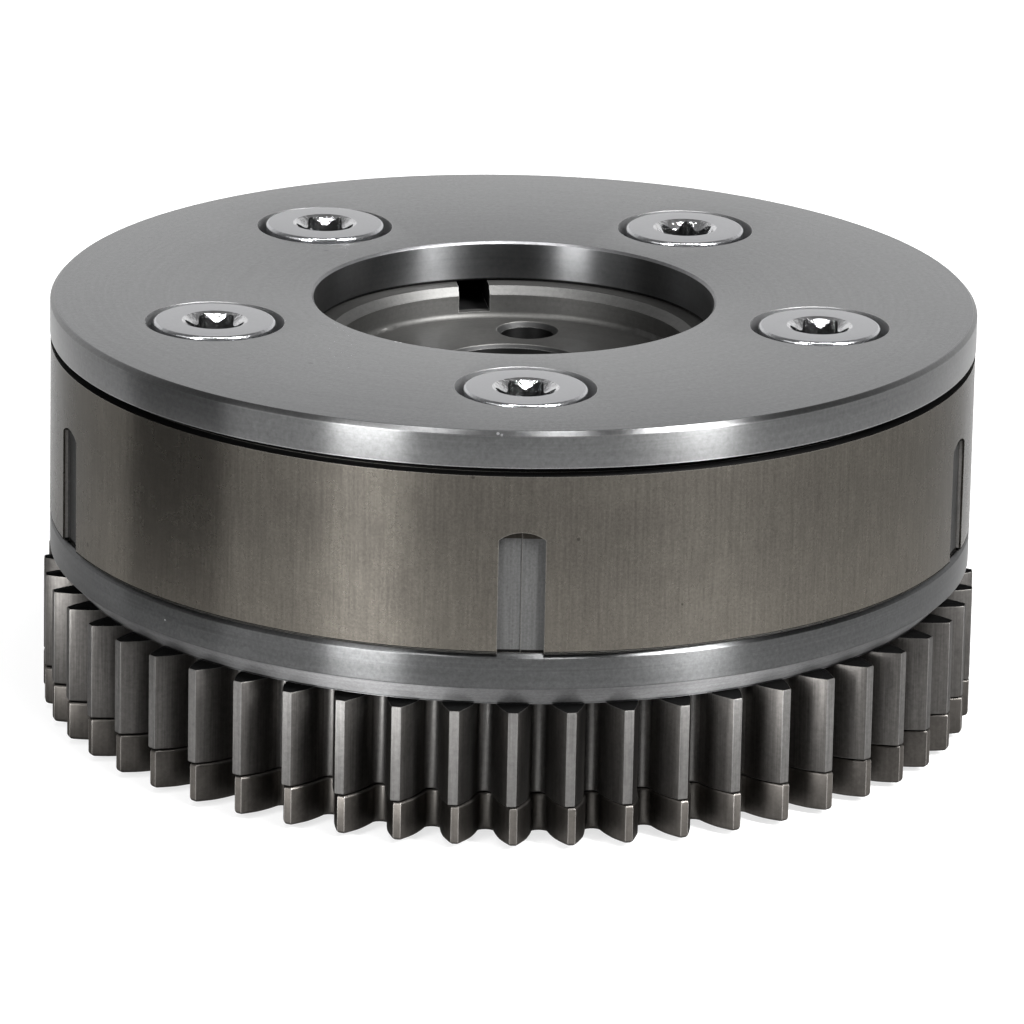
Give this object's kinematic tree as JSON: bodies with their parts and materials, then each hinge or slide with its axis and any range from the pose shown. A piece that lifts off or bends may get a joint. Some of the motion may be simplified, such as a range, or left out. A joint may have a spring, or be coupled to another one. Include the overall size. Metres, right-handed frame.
{
  "type": "cam phaser",
  "caption": "Vane-type cam phaser: screwed front cover over a stator and turning vane rotor, on a split anti-backlash timing gear.",
  "frame": {"origin": "centre of the rear hub's end face, on the axis, which the part stands on", "axes": "+Z along the axis from the gear to the front cover, -Y towards the screw nearest the viewer of the picture"},
  "size_m": [0.108, 0.108, 0.0486],
  "materials": {
    "cover_steel": "fine turned satin",
    "screw_steel": "bright plated, fine satin head",
    "stator_steel": "sintered, warm taupe, fine vertical streaks",
    "gear_steel": "turned flange, dark hardened teeth",
    "scissor_steel": "dark hardened",
    "rotor_steel": "turned satin",
    "pin_steel": "ground",
    "spring_steel": "spring wire and strip, oiled",
    "seal_polymer": "moulded, matt"
  },
  "bodies": {
    "housing": {"cover_plate": "cover_steel", "stator": "stator_steel", "drive_gear": "gear_steel", "lock_seat": "pin_steel", "scissor_spring": "spring_steel", "gear_spring_pin": "pin_steel", "snap_ring": "spring_steel", "disc_spring": "spring_steel", "cover_screw_1": "screw_steel", "cover_screw_2": "screw_steel", "cover_screw_3": "screw_steel", "cover_screw_4": "screw_steel", "cover_screw_5": "screw_steel"},
    "rotor": {"rotor": "rotor_steel", "lock_pin_cap": "pin_steel", "lock_pin_spring": "spring_steel", "vane_seal_1": "seal_polymer", "vane_seal_2": "seal_polymer", "vane_seal_3": "seal_polymer", "vane_seal_4": "seal_polymer", "vane_seal_5": "seal_polymer", "seal_spring_1": "spring_steel", "seal_spring_2": "spring_steel", "seal_spring_3": "spring_steel", "seal_spring_4": "spring_steel", "seal_spring_5": "spring_steel"},
    "lock_pin": {"lock_pin": "pin_steel"},
    "scissor": {"scissor_gear": "scissor_steel", "scissor_spring_pin": "pin_steel"}
  },
  "joints": [
    {"name": "rotor_turn", "type": "hinge", "parent": "housing", "child": "rotor", "pos_m": [0, 0, 0.0334], "axis": [0, 0, 1], "range_deg": [-19.1, 0]},
    {"name": "lock_pin_slide", "type": "slide", "parent": "rotor", "child": "lock_pin", "axis": [0, 0, 1], "range_m": [0, 0.001], "stiffness_N_per_m": 200, "springref_m": -0.005, "deforming": ["lock_pin_spring"]},
    {"name": "scissor_turn", "type": "hinge", "parent": "housing", "child": "scissor", "pos_m": [0, 0, 0.00285], "axis": [0, 0, 1], "range_deg": [-0.6, 0.6], "stiffness_Nm_per_rad": 20, "deforming": ["scissor_spring"]}
  ]
}
